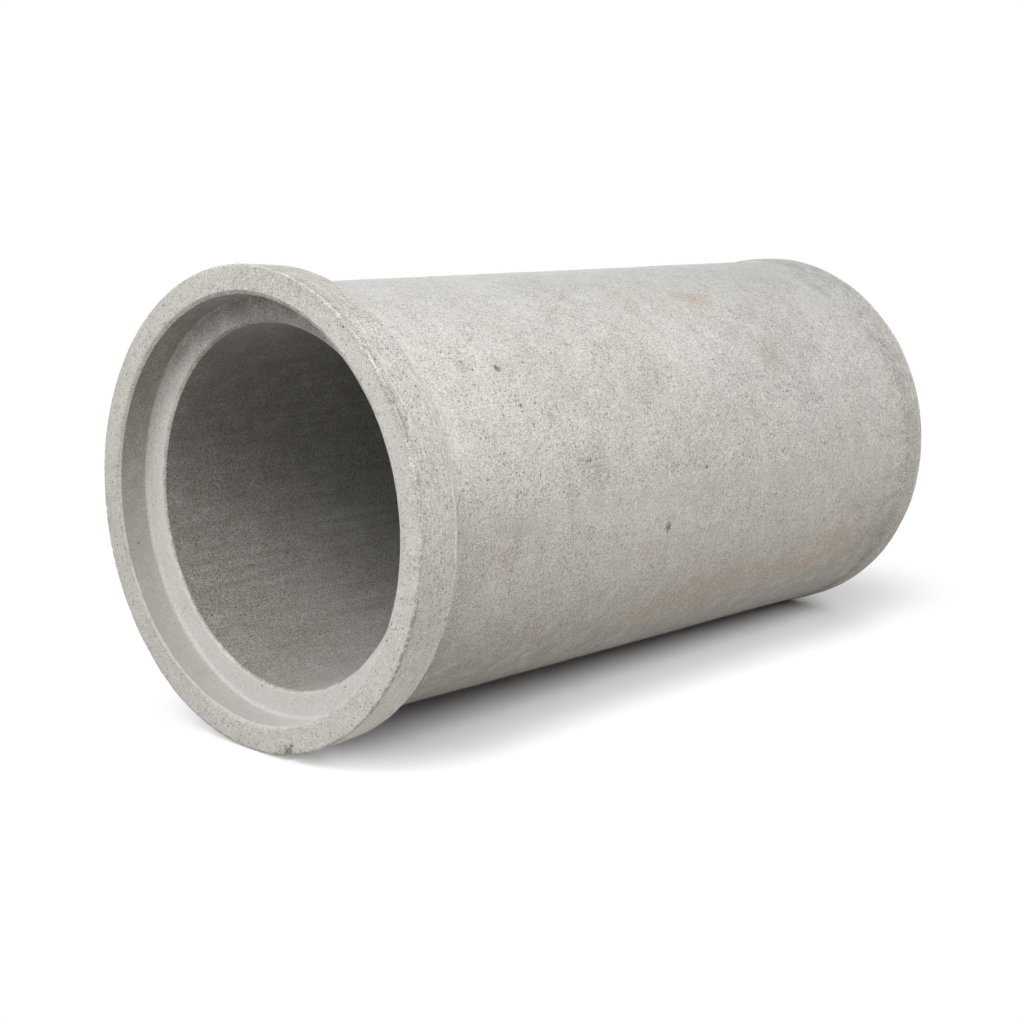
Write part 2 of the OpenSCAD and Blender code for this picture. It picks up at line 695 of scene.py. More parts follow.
@dataclass
class CastPipe:
    """The pipe itself, one closed shell of cast concrete."""

    sizes: PipeSizes
    reliefs: tuple[Relief, ...] = ()
    nicks: tuple[Nick, ...] = ()
    marks: tuple[Mark, ...] = ()
    segments: int = 720
    seed_size: float = 0.01
    fine_step: float = 0.0022
    wall_step: float = 0.0075
    bore_step: float = 0.011
    arc_step: float = 0.0012
    short_stretch: float = 0.2
    weld_gap: float = 1e-5
    arris_reach: float = 0.009
    rim_reach: float = 0.0117
    outside_depth: float = 0.008
    blend_top: float = 15
    blend_fade: tuple[float, float] = (68, 40)
    blend_reach: float = 0.020
    blend_factor: float = 0.5
    blend_rounds: int = 90
    triangle_limit: int = 192_000
    smooth_angle: float = 22.0
    piece: bpy.types.Object | None = field(default=None, repr=False)

    def corners(self) -> list[Corner]:
        """Lists the section's corners, from the lip outwards and back through the bore.

        Returns:
            The corners of the closed section.
        """
        sizes = self.sizes
        cove = []
        for step in range(1, sizes.cove_steps):
            part = step / sizes.cove_steps
            rise = (sizes.bell_back_r - sizes.barrel_r) * (1 - part) ** sizes.cove_power
            along = sizes.bell_back + (sizes.cove_end - sizes.bell_back) * part
            cove.append(Corner(along, sizes.barrel_r + rise))
        return [
            Corner(0.0, sizes.lip_r),
            Corner(0.0, sizes.bell_r, sizes.rim_rounding),
            Corner(sizes.bell_back, sizes.bell_back_r, sizes.back_rounding),
            *cove,
            Corner(sizes.cove_end, sizes.barrel_r),
            Corner(sizes.band_start, sizes.barrel_r, sizes.band_rounding),
            Corner(sizes.band_full, sizes.band_r, sizes.band_rounding),
            Corner(sizes.far_shoulder, sizes.band_r, sizes.far_rounding),
            Corner(sizes.far_shoulder, sizes.spigot_r, sizes.spigot_fillet),
            Corner(sizes.overall, sizes.spigot_r, sizes.nose_rounding),
            Corner(sizes.overall, sizes.bore_r + sizes.nose_bevel, sizes.nose_edge),
            Corner(sizes.overall - sizes.nose_bevel, sizes.bore_r, sizes.nose_inner_edge),
            Corner(sizes.shoulder + sizes.bore_bevel, sizes.bore_r),
            Corner(sizes.shoulder, sizes.bore_r + sizes.bore_bevel),
            Corner(sizes.shoulder, sizes.socket_r, sizes.socket_fillet),
            Corner(sizes.mouth_bevel, sizes.socket_r),
        ]

    def draw_section(self) -> None:
        """Draws the section as a closed line of edges in the XZ plane, then divides it."""
        outline = rounded(self.corners(), self.arc_step)
        first = outline[0]
        deselect_all()
        bpy.ops.mesh.primitive_plane_add(size=self.seed_size, location=(first.y, 0.0, first.x))
        self.piece = bpy.context.object
        self.piece.name = "cast_pipe"
        work_on(self.piece)
        bpy.ops.object.transform_apply(location=True, rotation=True, scale=True)
        open_mesh(self.piece, "VERT")
        bpy.ops.mesh.merge(type="CENTER")
        for here, after in zip(outline, outline[1:]):
            move = (after.y - here.y, 0.0, after.x - here.x)
            bpy.ops.mesh.extrude_region_move(TRANSFORM_OT_translate={"value": move})
        bpy.ops.object.mode_set(mode="OBJECT")
        spots = places(self.piece)
        ends = np.zeros(len(spots), bool)
        for end in (outline[0], outline[-1]):
            gap = np.hypot(spots[:, 0] - end.y, spots[:, 2] - end.x)
            ends[int(gap.argmin())] = True
        pick(self.piece, "VERT", ends)
        bpy.ops.mesh.edge_face_add()
        self.divide_section()

    def stretch_step(self, low: Vector, high: Vector) -> float:
        """The longest edge allowed on a stretch of the section.

        Args:
            low: one end of the stretch, as (x, y, z).
            high: its other end.

        Returns:
            The step, in metres.
        """
        if abs(high.z - low.z) < self.short_stretch:
            return self.fine_step
        in_bore = max(low.x, high.x) < self.sizes.bore_r + HAIR
        return self.bore_step if in_bore else self.wall_step

    def edge_ends(self) -> list[tuple[Vector, Vector]]:
        """Reads the section's edges.

        Returns:
            The two ends of every edge, as (x, y, z).
        """
        work_on(self.piece)
        points = [vertex.co.copy() for vertex in self.piece.data.vertices]
        return [(points[edge.vertices[0]], points[edge.vertices[1]]) for edge in self.piece.data.edges]

    def divide_section(self) -> None:
        """Divides each long edge of the section into even short ones."""
        middles: dict[int, list[Vector]] = {}
        for low, high in self.edge_ends():
            cuts = math.ceil((high - low).length / self.stretch_step(low, high)) - 1
            if cuts > 0:
                middles.setdefault(cuts, []).append((low + high) / 2)
        for cuts, wanted in middles.items():
            edge_middles = [(low + high) / 2 for low, high in self.edge_ends()]
            chosen = [
                any((middle - place).length < SAME_PLACE for place in wanted) for middle in edge_middles
            ]
            pick(self.piece, "EDGE", np.array(chosen))
            bpy.ops.mesh.subdivide(number_cuts=cuts)

    def spin_section(self) -> None:
        """Spins the section through a quarter turn, and mirrors that into a closed shell."""
        open_mesh(self.piece, "EDGE")
        steps = self.segments // 4
        bpy.ops.mesh.spin(steps=steps, angle=math.tau / 4, center=(0, 0, 0), axis=(0, 0, 1))
        both_ways = (True, True, False)
        apply_modifier(self.piece, "MIRROR", use_axis=both_ways, merge_threshold=self.weld_gap)
        open_mesh(self.piece, "EDGE")
        bpy.ops.mesh.normals_make_consistent(inside=False)
        bpy.ops.object.mode_set(mode="OBJECT")

    def weigh(self, reach: Reach, weights: np.ndarray) -> None:
        """Stores a weight for each vertex as a vertex group.

        Args:
            reach: what the group is for, which names it.
            weights: one number a vertex, from 0 to 1.
        """
        group = self.piece.vertex_groups.new(name=reach.value)
        levels = np.round(weights * WEIGHT_LEVELS).astype(int)
        for level in range(1, WEIGHT_LEVELS + 1):
            members = np.flatnonzero(levels == level).tolist()
            if members:
                group.add(members, level / WEIGHT_LEVELS, "REPLACE")

    def group_vertices(self) -> None:
        """Makes the vertex groups that the relief layers work through."""
        here = Surface.of(self.piece)
        arrises = self.sizes.arrises()
        self.weigh(Reach.ARRISES, ramp(here.gap(*arrises), self.arris_reach, 0))
        self.weigh(Reach.RIM, ramp(here.gap(arrises[0]), self.rim_reach, 0))
        outside = (here.out > self.sizes.barrel_r - self.outside_depth).astype(float)
        self.weigh(Reach.OUTSIDE, outside)
        upper = ramp(np.abs(here.swing(self.blend_top)), *self.blend_fade)
        behind = hump(here.along, self.sizes.bell_back, self.blend_reach)
        self.weigh(Reach.BLENDED, upper * behind * outside)

    def press_relief(self, relief: Relief) -> None:
        """Presses one layer of procedural relief into the shell.

        Args:
            relief: the layer.
        """
        texture = bpy.data.textures.new(relief.name, relief.kind)
        texture.noise_scale = relief.scale
        if relief.kind == "CLOUDS":
            texture.noise_depth = relief.octaves
        if relief.window:
            texture.use_color_ramp = True
            low, high = sorted(relief.window)
            falling = relief.window[0] > relief.window[1]
            stops = ((low, falling), (high, not falling))
            for element, (position, white) in zip(texture.color_ramp.elements, stops):
                element.position = position
                element.color = (1, 1, 1, 1) if white else (0, 0, 0, 1)
        group = "" if relief.reach is Reach.ALL_OVER else relief.reach.value
        lift = {"strength": relief.height, "mid_level": relief.middle}
        space = {"texture_coords": "LOCAL", "vertex_group": group}
        apply_modifier(self.piece, "DISPLACE", texture=texture, **lift, **space)

    def weather(self) -> None:
        """Trowels the bell's back edge smooth over the top, then presses the relief and nicks in."""
        self.group_vertices()
        blend = {"factor": self.blend_factor, "iterations": self.blend_rounds}
        apply_modifier(self.piece, "SMOOTH", vertex_group=Reach.BLENDED.value, **blend)
        for relief in self.reliefs:
            self.press_relief(relief)
        for nick in self.nicks:
            self.press_nick(nick)

    def press_nick(self, nick: Nick) -> None:
        """Presses one dent in with a soft selection.

        Args:
            nick: the dent's place and size.
        """
        spots = places(self.piece)
        gaps = np.linalg.norm(spots - np.array(nick.spot.local()), axis=1)
        nearest = int(gaps.argmin())
        inward = -self.piece.data.vertices[nearest].normal
        pick(self.piece, "VERT", np.arange(len(spots)) == nearest)
        bpy.ops.transform.translate(
            value=tuple(inward * nick.depth),
            use_proportional_edit=True,
            use_proportional_connected=False,
            proportional_edit_falloff="SMOOTH",
            proportional_size=nick.radius,
        )
        bpy.ops.object.mode_set(mode="OBJECT")

    def thin(self) -> None:
        """Thins the mesh where it is smooth, and keeps it dense where it is chipped."""
        self.piece.vertex_groups.clear()
        self.piece.data.calc_loop_triangles()
        triangles = len(self.piece.data.loop_triangles)
        apply_modifier(self.piece, "DECIMATE", ratio=min(1.0, self.triangle_limit / triangles))
        bpy.ops.object.shade_smooth_by_angle(angle=math.radians(self.smooth_angle))

    def paint_masks(self) -> None:
        """Paints worn edges, dirt, stains, smoothness, and painted light and shade into the shell's own
        attributes.
        """
        painter = MaskPainter(self.sizes, Surface.of(self.piece))
        painter.outside_corners()
        painter.bell()
        painter.barrel()
        painter.inside()
        for mark in self.marks:
            painter.mark(mark)
        painter.store(self.piece)

    def lay(self, place: Matrix) -> None:
        """Lays the finished shell down where the frame has the pipe.

        Args:
            place: from the upright pipe to the frame.
        """
        work_on(self.piece)
        self.piece.matrix_world = place
        bpy.ops.object.transform_apply(location=True, rotation=True, scale=True)

    def build(self, concrete: "CastConcrete", place: Matrix) -> bpy.types.Object:
        """Makes the pipe and joins it to the frame.

        Args:
            concrete: the finish.
            place: from the upright pipe to the frame.

        Returns:
            The finished piece.
        """
        self.draw_section()
        self.spin_section()
        self.weather()
        self.thin()
        self.paint_masks()
        self.lay(place)
        self.piece.data.materials.clear()
        self.piece.data.materials.append(ConcreteMix(concrete, place).material())
        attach(self.piece, "root")
        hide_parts("pipe")
        log.info("%s: %d faces", self.piece.name, len(self.piece.data.polygons))
        return self.piece


# ---------------------------------------------------------------- the finish


@dataclass(frozen=True)
class Grain:
    """A noise over the concrete.

    Attributes:
        scale: features in a metre.
        detail: octaves of finer features.
        roughness: how strong those are.
        wrap: for strokes, features in a radian around the pipe and in a metre along it.
    """

    scale: float
    detail: float
    roughness: float
    wrap: tuple[float, float] | None = None


@dataclass
class NodeBench:
    """Adds and joins the nodes of one material or world."""

    tree: bpy.types.NodeTree

    @classmethod
    def on(cls, owner: bpy.types.Material | bpy.types.World) -> "NodeBench":
        """Clears the nodes of a material or a world, to build them anew.

        Args:
            owner: the material or the world.

        Returns:
            The bench for its nodes.
        """
        owner.use_nodes = True
        owner.node_tree.nodes.clear()
        return cls(owner.node_tree)

    def add(self, kind: str, inputs: dict[str | int, Value] | None = None,
            **settings: str) -> bpy.types.Node:
        """Adds a node.

        Args:
            kind: the node's type name.
            inputs: what its inputs are fed, by name or number.
            settings: its properties by name.

        Returns:
            The new node.
        """
        node = self.tree.nodes.new(kind)
        for name, value in settings.items():
            setattr(node, name, value)
        for name, value in (inputs or {}).items():
            self.feed(node.inputs[name], value)
        return node

    def feed(self, socket: Socket, value: Value) -> None:
        """Links a socket to another, or sets it to a plain value.

        Args:
            socket: the input.
            value: another node's output, a number, a colour, a place or a turn.
        """
        if isinstance(value, Socket):
            self.tree.links.new(value, socket)
        elif isinstance(value, tuple) and socket.type == "RGBA":
            socket.default_value = (*value, 1.0)
        else:
            socket.default_value = value

    def sum_up(self, operation: str, *values: Value) -> Socket:
        """Does one sum on numbers or sockets.

        Args:
            operation: the Math node's operation.
            values: its inputs in order.

        Returns:
            The result's socket.
        """
        return self.add("ShaderNodeMath", dict(enumerate(values)), operation=operation).outputs[0]

    def times(self, one: Value, other: Value) -> Socket:
        """Multiplies two values."""
        return self.sum_up("MULTIPLY", one, other)

    def window(self, value: Value, low: float, high: float, at_low: float = 0.0,
               at_high: float = 1.0) -> Socket:
        """Eases from one number to another as a value goes from low to high.

        Args:
            value: the value to follow.
            low: where the easing starts.
            high: where it ends.
            at_low: the result at low.
            at_high: the result at high.

        Returns:
            The result's socket.
        """
        inputs = dict(enumerate((value, low, high, at_low, at_high)))
        return self.add("ShaderNodeMapRange", inputs, interpolation_type="SMOOTHSTEP").outputs[0]

    def noise(self, vector: Socket, grain: Grain) -> Socket:
        """Makes noise between 0 and 1.

        Args:
            vector: the coordinates.
            grain: the noise's features.

        Returns:
            The noise's socket.
        """
        inputs = {"Vector": vector, "Scale": grain.scale, "Detail": grain.detail}
        inputs["Roughness"] = grain.roughness
        return self.add("ShaderNodeTexNoise", inputs).outputs["Fac"]

    def cells(self, vector: Socket, scale: float) -> tuple[Socket, Socket]:
        """Scatters grains.

        Args:
            vector: the coordinates.
            scale: grains in a metre.

        Returns:
            The distance to the nearest grain's middle, and that grain's random number.
        """
        node = self.add("ShaderNodeTexVoronoi", {"Vector": vector, "Scale": scale}, feature="F1")
        split = self.add("ShaderNodeSeparateColor", {"Color": node.outputs["Color"]})
        return node.outputs["Distance"], split.outputs["Red"]

    def blend(self, factor: Value, low: Value, high: Value, mode: str = "MIX") -> Socket:
        """Mixes two colours.

        Args:
            factor: how much of the second colour shows.
            low: the first colour.
            high: the second colour.
            mode: the Mix node's blending mode.

        Returns:
            The mixed colour.
        """
        inputs = dict(zip(MIX_COLOUR_INPUTS, (factor, low, high)))
        node = self.add("ShaderNodeMix", inputs, data_type="RGBA", blend_type=mode)
        return node.outputs[MIX_COLOUR_OUTPUT]

    def painted(self, mask: Mask) -> Socket:
        """Reads one painted mask."""
        return self.add("ShaderNodeAttribute", attribute_name=mask.value).outputs["Fac"]


@dataclass(frozen=True)
class Spread:
    """How a noise lets a layer through.

    Attributes:
        grain: the noise.
        low: one value of the noise.
        high: another value, larger or smaller.
        at_low: how much of the layer shows at low.
        at_high: how much shows at high, with an easy change between.
    """

    grain: Grain
    low: float
    high: float
    at_low: float = 0.0
    at_high: float = 1.0


@dataclass(frozen=True)
class Layer:
    """One shade laid over the concrete.

    Attributes:
        shade: its colour.
        spreads: the noises that it follows.
        within: the painted mask that it keeps to.
        off: the painted mask that it keeps off.
        amount: how much of it shows in all.
    """

    shade: Colour
    spreads: tuple[Spread, ...] = ()
    within: Mask | None = None
    off: Mask | None = None
    amount: float | None = None


@dataclass(frozen=True)
class CastConcrete:
    """Warm grey, matt, sandy cast concrete with pores, smudges, old stains, and painted light and shade.

    A tuple of two numbers is the start and the end of an easing window. In a tuple of
    four, the last two are its results there. Sizes of holes and specks are in cells.
    """

    pale: Colour = (0.376, 0.364, 0.343)
    dull: Colour = (0.330, 0.318, 0.299)
    # dark tone for grime, and for painted shade
    grime_and_shade: Colour = (0.155, 0.147, 0.133)
    ochre: Colour = (0.300, 0.244, 0.180)
    # pale tone for lime patches, and for painted light
    lime_and_light: Colour = (0.484, 0.470, 0.446)
    # tone of smooth formed surfaces, laid on as painted light towards the bottom
    formed_and_light: Colour = (0.532, 0.520, 0.500)
    pore: Colour = (0.085, 0.079, 0.070)
    pale_grain: Colour = (0.560, 0.548, 0.522)
    clouds: Grain = Grain(5.0, 4.0, 0.60)
    blotches: Grain = Grain(34.0, 5.0, 0.62)
    drifts: Grain = Grain(9.0, 6.0, 0.66)
    warmth: Grain = Grain(4.3, 5.0, 0.70)
    gravel: Grain = Grain(150.0, 2.0, 0.60)
    sand: Grain = Grain(470.0, 2.0, 0.85)
    bell_strokes: Grain = Grain(1.0, 2.0, 0.60, wrap=(14.0, 260.0))
    bore_streaks: Grain = Grain(1.0, 4.0, 0.65, wrap=(26.0, 7.0))
    pinhole_drifts: Grain = Grain(11.0, 3.0, 0.60)
    pinholes: Grain = Grain(250.0, 2.0, 0.75)
    torn_edge: Grain = Grain(165.0, 3.0, 0.75)
    ragged_edge: Grain = Grain(260.0, 3.0, 0.70)
    sandy_rise: Grain = Grain(260.0, 3.0, 0.65)
    skin_rise: Grain = Grain(70.0, 2.0, 0.50)
    air_holes_a_metre: float = 58.0
    specks_a_metre: float = 245.0
    pinhole_level: tuple[float, ...] = (0.35, 0.65, 0.71, 0.63)
    pinhole_edge: tuple[float, float] = (0.0, 0.05)
    pinhole_darkness: float = 0.60
    hole_darkness: float = 0.80
    hole_raggedness: float = 2.4
    hole_bottom: float = 0.35
    hole_sizes: tuple[float, ...] = (0.88, 1.0, 0.0, 0.13)
    hole_slope: tuple[float, float] = (0.55, 1.0)
    least_hole: float = 0.0001
    speck_sizes: tuple[float, ...] = (0.55, 1.0, 0.06, 0.46)
    speck_slope: tuple[float, float] = (1.0, 0.65)
    usual_specks: tuple[float, ...] = (0.35, 0.65, 0.30, 0.80)
    mask_specks: float = 0.50
    belt_specks: float = 0.6
    edge_patches: tuple[float, ...] = (0.35, 0.60, 0.55, 1.0)
    edge_reach: tuple[float, float] = (0.35, 0.80)
    edge_chips: tuple[float, float] = (0.46, 0.56)
    edge_darkness: float = 0.85
    grit_contrast: tuple[float, ...] = (0.30, 0.70, 0.70, 1.30)
    skin_height: float = 0.8
    hole_depth: float = 2.0
    smoothing: float = 0.6
    roughness: float = 0.9
    shine: float = 0.25
    dustiness: float = 0.5
    dust_spread: float = 0.35
    bump_height: float = 0.0009
    holes: tuple[Hole, ...] = ()

    def body(self) -> tuple[Layer, ...]:
        """Lists the layers of the clean concrete.

        Returns:
            Clouds, blotches, warm drifts, gravel and sand, to lay over the dull tone.
        """
        return (
            Layer(self.pale, (Spread(self.clouds, 0.32, 0.68),)),
            Layer(self.grime_and_shade, (Spread(self.blotches, 0.50, 0.78, 0.0, 0.34),)),
            Layer(self.pale_grain, (Spread(self.blotches, 0.50, 0.25, 0.0, 0.25),)),
            Layer(self.grime_and_shade, (Spread(self.drifts, 0.50, 0.70, 0.0, 0.20),)),
            Layer(self.ochre, (Spread(self.warmth, 0.52, 0.72, 0.0, 0.24),), off=Mask.FACE),
            Layer(self.pale_grain, (Spread(self.gravel, 0.50, 0.75, 0.0, 0.32),)),
            Layer(self.grime_and_shade, (Spread(self.gravel, 0.50, 0.25, 0.0, 0.32),)),
            Layer(self.pale_grain, (Spread(self.sand, 0.50, 0.72, 0.0, 0.82),)),
            Layer(self.grime_and_shade, (Spread(self.sand, 0.50, 0.28, 0.0, 1.0),)),
        )

    def stains(self) -> tuple[Layer, ...]:
        """Lists the layers that the painted masks hold.

        Returns:
            Smudges and painted shade, tan stains, pale patches and painted light, smooth pale surfaces
            painted lighter below, then strokes, and streaks over painted shade in the bore.
        """
        broken = (Spread(self.clouds, 0.30, 0.60, 0.75, 1.0), Spread(self.blotches, 0.30, 0.62, 0.35, 1.0))
        return (
            # grime, and painted shade where the mask lays it
            Layer(self.grime_and_shade, (Spread(self.blotches, 0.25, 0.65, 0.35, 1.0),), Mask.GRIME_AND_SHADE, amount=0.72),
            Layer(self.ochre, broken, Mask.OCHRE),
            # pale patches, and painted light where the mask lays it
            Layer(self.lime_and_light, (Spread(self.blotches, 0.25, 0.65, 1.0, 0.70),), Mask.LIME_AND_LIGHT),
            Layer(self.pale_grain, within=Mask.FACE, amount=0.25),
            # smooth formed surfaces, with painted light below and painted shade above
            Layer(self.formed_and_light, within=Mask.FORMED_AND_LIGHT, amount=0.52),
            Layer(self.grime_and_shade, (Spread(self.bell_strokes, 0.50, 0.30, 0.0, 0.30),), Mask.BELT),
            Layer(self.pale_grain, (Spread(self.bell_strokes, 0.50, 0.72, 0.0, 0.25),), Mask.BELT),
            # streaks, laid over painted shade across the whole bore
            Layer(self.grime_and_shade, (Spread(self.bore_streaks, 0.25, 0.75, 0.16, 0.51),), Mask.BORE),
        )


class ConcreteMix:
    """The nodes of one cast concrete, made layer by layer."""

    def __init__(self, finish: CastConcrete, place: Matrix) -> None:
        """Starts an empty material.

        Args:
            finish: the concrete's colours, grains and holes.
            place: from the upright pipe to the frame, which lines the strokes up.
        """
        self.finish = finish
        self.made = bpy.data.materials.new("cast_concrete")
        self.bench = NodeBench.on(self.made)
        self.spot = self.bench.add("ShaderNodeTexCoord").outputs["Object"]
        back = place.inverted()
        lay_back = {"Vector": self.spot, "Location": back.to_translation(), "Rotation": back.to_euler()}
        self.upright = self.bench.add("ShaderNodeMapping", lay_back).outputs[0]
        self.noises: dict[Grain, Socket] = {}

    def material(self) -> bpy.types.Material:
        """Joins the colour, the height and the dusty shine into the finished material.

        Returns:
            The material.
        """
        bench, finish = self.bench, self.finish
        pinholes, holes = self.pinholes(), self.holes()
        bump = bench.add("ShaderNodeBump", {
            "Strength": bench.sum_up("MULTIPLY_ADD", bench.painted(Mask.FORMED_AND_LIGHT), -finish.smoothing, 1.0),
            "Distance": finish.bump_height,
            "Height": self.height(pinholes, holes),
        })
        shader = bench.add("ShaderNodeBsdfPrincipled", {
            "Base Color": self.colour(pinholes, holes),
            "Roughness": finish.roughness,
            "Specular IOR Level": finish.shine,
            "Sheen Weight": finish.dustiness,
            "Sheen Roughness": finish.dust_spread,
            "Normal": bump.outputs[0],
        })
        bench.add("ShaderNodeOutputMaterial", {"Surface": shader.outputs[0]})
        return self.made

    def wrapped(self, around: float, along: float) -> Socket:
        """Unrolls the pipe's surface, with its own scales around and along.

        Args:
            around: features in a radian around the pipe.
            along: features in a metre along it.

        Returns:
            The unrolled place, for a noise of scale 1.
        """
        bench = self.bench
        x, y, z = bench.add("ShaderNodeSeparateXYZ", {"Vector": self.upright}).outputs
        turn = bench.sum_up("ARCTAN2", x, bench.times(y, -1.0))
        flat = {"X": bench.times(turn, around), "Y": bench.times(z, along)}
        return bench.add("ShaderNodeCombineXYZ", flat).outputs[0]

    def noise(self, grain: Grain) -> Socket:
        """Makes a noise the first time it is asked for.

        Args:
            grain: the noise's features.

        Returns:
            The noise's socket.
        """
        if grain not in self.noises:
            vector = self.wrapped(*grain.wrap) if grain.wrap else self.spot
            self.noises[grain] = self.bench.noise(vector, grain)
        return self.noises[grain]

    def through(self, spread: Spread) -> Socket:
        """How much of a layer one noise lets through."""
        noise = self.noise(spread.grain)
        return self.bench.window(noise, spread.low, spread.high, spread.at_low, spread.at_high)

    def laid(self, tone: Value, layer: Layer) -> Socket:
        """Lays one layer over the tone.

        Args:
            tone: the colour so far.
            layer: the layer.

        Returns:
            The new colour.
        """
        factors: list[Value] = [self.through(spread) for spread in layer.spreads]
        if layer.within:
            factors.append(self.bench.painted(layer.within))
        if layer.off:
            factors.append(self.bench.sum_up("SUBTRACT", 1.0, self.bench.painted(layer.off)))
        if layer.amount is not None:
            factors.append(layer.amount)
        return self.bench.blend(reduce(self.bench.times, factors), tone, layer.shade)

    def colour(self, pinholes: Socket, holes: Socket) -> Socket:
        """Layers the base tone, sand, specks, stains and holes.

        Args:
            pinholes: the pinholes' mask.
            holes: the larger holes' mask.

        Returns:
            The base colour.
        """
        bench, finish = self.bench, self.finish
        tone = reduce(self.laid, finish.body(), finish.dull)
        tone = bench.blend(self.specks(), tone, finish.pore)
        tone = reduce(self.laid, finish.stains(), tone)
        tone = self.gritty(tone)
        tone = bench.blend(bench.times(pinholes, finish.pinhole_darkness), tone, finish.pore)
        return bench.blend(bench.times(holes, finish.hole_darkness), tone, finish.pore)

    def pinholes(self) -> Socket:
        """Fine ragged pinholes in drifts.

        Returns:
            Their mask, 1 in a hole.
        """
        finish = self.finish
        level = self.through(Spread(finish.pinhole_drifts, *finish.pinhole_level))
        above = self.bench.sum_up("SUBTRACT", self.noise(finish.pinholes), level)
        return self.bench.window(above, *finish.pinhole_edge)

    def holes(self) -> Socket:
        """Scattered round air holes, and the ragged holes that stand out one by one.

        Returns:
            Their mask, 1 in a hole.
        """
        bench, finish = self.bench, self.finish
        distance, chance = bench.cells(self.spot, finish.air_holes_a_metre)
        size = bench.window(chance, *finish.hole_sizes)
        ratio = bench.sum_up("DIVIDE", distance, bench.sum_up("ADD", size, finish.least_hole))
        mask = bench.sum_up("SUBTRACT", 1.0, bench.window(ratio, *finish.hole_slope))
        ragged = bench.sum_up("SUBTRACT", self.noise(finish.ragged_edge), 0.5)
        for hole in finish.holes:
            ends = {0: self.upright, 1: hole.spot.local()}
            gap = bench.add("ShaderNodeVectorMath", ends, operation="DISTANCE")
            wobble = finish.hole_raggedness * hole.radius
            edge = bench.sum_up("MULTIPLY_ADD", ragged, wobble, gap.outputs["Value"])
            bottom = finish.hole_bottom * hole.radius
            mask = bench.sum_up("MAXIMUM", mask, bench.window(edge, hole.radius, bottom))
        return mask

    def specks(self) -> Socket:
        """Fine dark specks, thickest on the bell's face, in the bore and along the worn rim.

        Returns:
            Their strength.
        """
        bench, finish = self.bench, self.finish
        distance, chance = bench.cells(self.spot, finish.specks_a_metre)
        size = bench.window(chance, *finish.speck_sizes)
        dot = bench.window(bench.sum_up("DIVIDE", distance, size), *finish.speck_slope)
        more = bench.sum_up("ADD", bench.painted(Mask.FACE), bench.painted(Mask.BORE))
        more = bench.sum_up("MULTIPLY_ADD", bench.painted(Mask.BELT), finish.belt_specks, more)
        usual = self.through(Spread(finish.blotches, *finish.usual_specks))
        dotted = bench.times(dot, bench.sum_up("MULTIPLY_ADD", more, finish.mask_specks, usual))
        # the worn rim's dark chips: wear, and painted shade in them
        patchy = self.through(Spread(finish.blotches, *finish.edge_patches))
        worn = bench.window(bench.times(bench.painted(Mask.WEAR_AND_SHADE), patchy), *finish.edge_reach)
        edge = bench.times(worn, self.through(Spread(finish.torn_edge, *finish.edge_chips)))
        return bench.sum_up("MAXIMUM", dotted, bench.times(edge, finish.edge_darkness))

    def gritty(self, tone: Socket) -> Socket:
        """Brings the sand back out where stains lie over it, but not on smooth surfaces.

        Args:
            tone: the colour so far.

        Returns:
            The new colour.
        """
        bench = self.bench
        cover = bench.painted(Mask.BORE)
        for mask in (Mask.GRIME_AND_SHADE, Mask.OCHRE, Mask.LIME_AND_LIGHT):
            cover = bench.sum_up("ADD", cover, bench.painted(mask))
        cover = bench.sum_up("SUBTRACT", bench.sum_up("MINIMUM", cover, 1.0), bench.painted(Mask.FORMED_AND_LIGHT))
        grit = self.through(Spread(self.finish.sand, *self.finish.grit_contrast))
        return bench.blend(bench.sum_up("MAXIMUM", cover, 0.0), tone, grit, mode="MULTIPLY")

    def height(self, pinholes: Socket, holes: Socket) -> Socket:
        """Sandy height with the holes sunk in.

        Args:
            pinholes: the pinholes' mask.
            holes: the larger holes' mask.

        Returns:
            The height, in units of the bump's distance.
        """
        bench, finish = self.bench, self.finish
        skin = bench.times(self.noise(finish.skin_rise), finish.skin_height)
        rise = bench.sum_up("ADD", self.noise(finish.sandy_rise), skin)
        sunk = bench.sum_up("ADD", pinholes, bench.times(holes, finish.hole_depth))
        return bench.sum_up("SUBTRACT", rise, sunk)


# ---------------------------------------------------------------- the studio


@dataclass(frozen=True)
class SoftBox:
    """One round soft light on a stand, turned towards the pipe."""

    name: str
    place: tuple[float, float, float]
    power: float
    width: float = 1.4
    aim: tuple[float, float, float] = (0.0, -0.2, 0.3)

    def hang(self) -> None:
        """Hangs the light."""
        lamp = bpy.data.lights.new(self.name, "AREA")
        lamp.shape = "DISK"
        lamp.size = self.width
        lamp.energy = self.power
        box = bpy.data.objects.new(self.name, lamp)
        bpy.context.collection.objects.link(box)
        box.location = self.place
        box.rotation_euler = (Vector(self.place) - Vector(self.aim)).to_track_quat("Z", "Y").to_euler()


